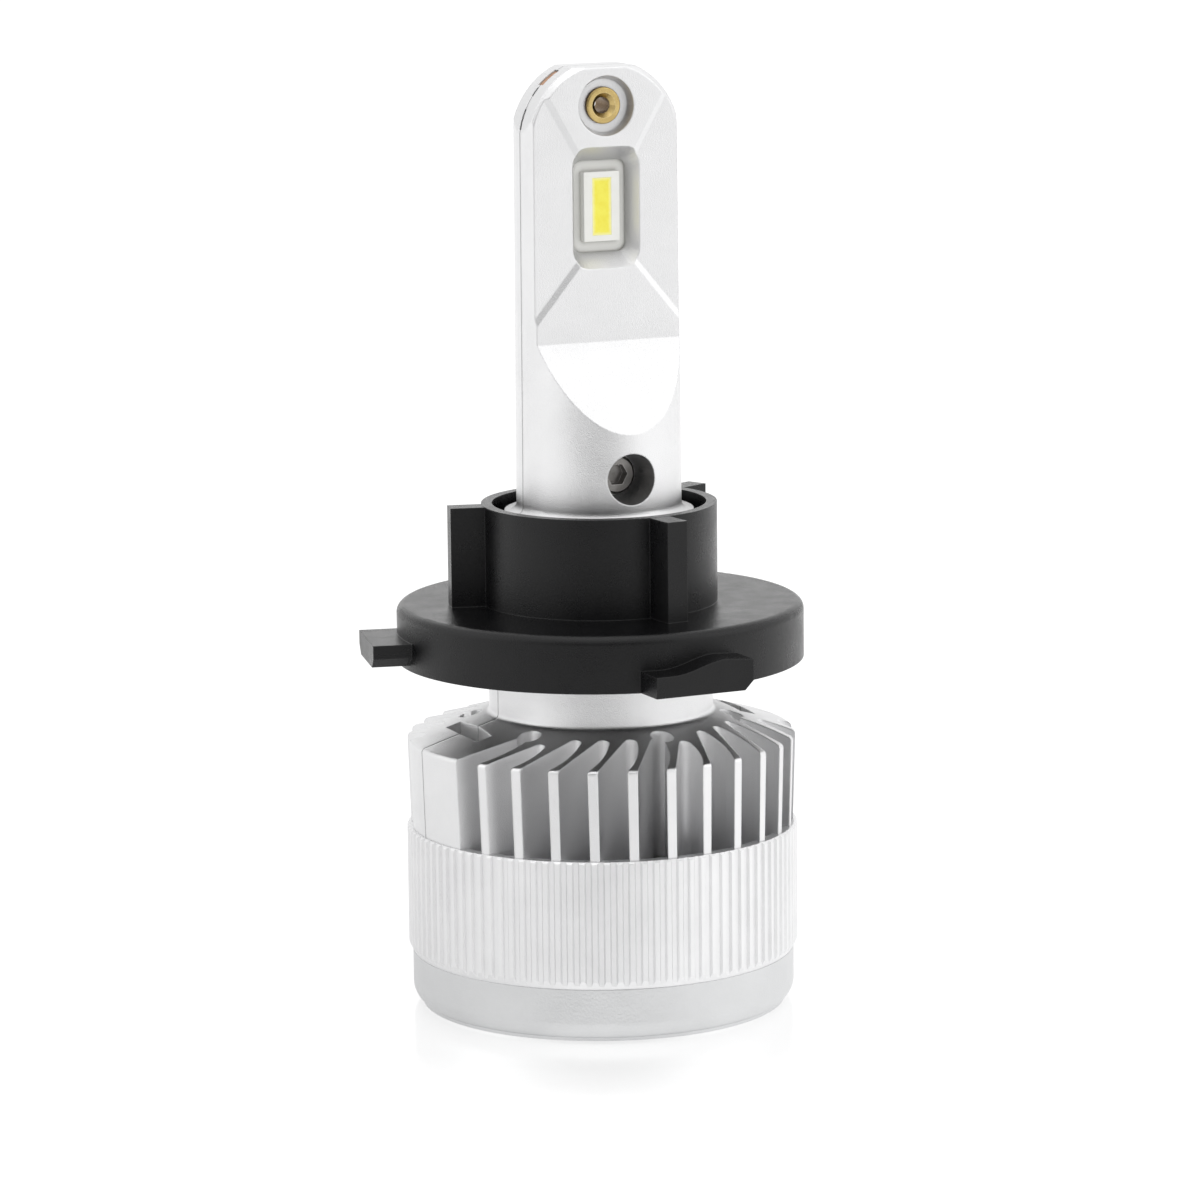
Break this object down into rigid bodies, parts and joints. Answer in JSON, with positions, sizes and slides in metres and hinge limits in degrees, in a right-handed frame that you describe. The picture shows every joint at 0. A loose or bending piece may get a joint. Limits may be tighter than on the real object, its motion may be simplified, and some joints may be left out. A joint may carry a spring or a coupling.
{
  "type": "headlight bulb",
  "caption": "Headlight bulb: flat arched LED post, black twist-lock collar with ribs and keys, finned heat sink, knurled ring and a fan inside the end cap.",
  "frame": {"origin": "on the bulb's axis in the plane of the end cap's flat base", "axes": "+Z along the axis from the base to the tip, -Y towards the side whose LED and clamp screw face the front"},
  "size_m": [0.0534, 0.0491, 0.1055],
  "materials": {
    "cast_aluminium": "fine sand-blasted die casting with a dull silver finish",
    "copper_core": "copper-core board with bare copper edges and pale solder mask",
    "led_ceramic": "white ceramic package",
    "led_phosphor": "yellow phosphor in silicone",
    "brass": "plain brass, rolled edges",
    "screw_steel": "zinc-plated steel",
    "black_nylon": "black moulded nylon, fine grain",
    "ring_metal": "turned and knurled aluminium, satin silver",
    "cap_metal": "turned aluminium, fine blasted",
    "black_rubber": "moulded rubber",
    "fan_plastic": "black glass-filled plastic",
    "rotor_steel": "deep-drawn steel",
    "magnet": "bonded ferrite",
    "ground_steel": "ground steel",
    "bronze": "sintered bronze, oiled",
    "lamination": "stacked electrical steel",
    "magnet_wire": "enamelled copper wire",
    "board_green": "glass-epoxy board with green solder mask",
    "lead_insulation": "stiff insulated lead",
    "component_black": "moulded component body",
    "component_can": "aluminium can",
    "gold_pin": "gold-flashed pin"
  },
  "bodies": {
    "housing": {"heatsink_front": "cast_aluminium", "heatsink_rear": "cast_aluminium", "copper_board": "copper_core", "led_frame_front": "led_ceramic", "led_frame_rear": "led_ceramic", "led_phosphor_front": "led_phosphor", "led_phosphor_rear": "led_phosphor", "tip_rivet": "brass", "clamp_screw": "screw_steel", "collar_seal": "black_rubber", "grip_ring": "ring_metal", "end_cap": "cap_metal", "cap_screws": "screw_steel", "cable_grommet": "black_rubber", "fan_frame": "fan_plastic", "fan_bearing": "bronze", "stator_core": "lamination", "stator_windings": "magnet_wire", "fan_board": "board_green", "fan_leads": "lead_insulation", "driver_board": "board_green", "driver_inductor": "component_black", "driver_capacitors": "component_can", "driver_chips": "component_black", "board_pins": "gold_pin"},
    "rotor": {"fan_impeller": "fan_plastic", "rotor_cup": "rotor_steel", "rotor_magnet": "magnet", "fan_shaft": "ground_steel", "shaft_clip": "ground_steel"},
    "collar": {"mounting_collar": "black_nylon"}
  },
  "joints": [
    {"name": "fan_spin", "type": "hinge", "parent": "housing", "child": "rotor", "pos_m": [0, 0, 0.0065], "axis": [0, 0, 1], "continuous": true},
    {"name": "collar_turn", "type": "hinge", "parent": "housing", "child": "collar", "pos_m": [0, 0, 0.0456], "axis": [0, 0, 1], "continuous": true}
  ]
}
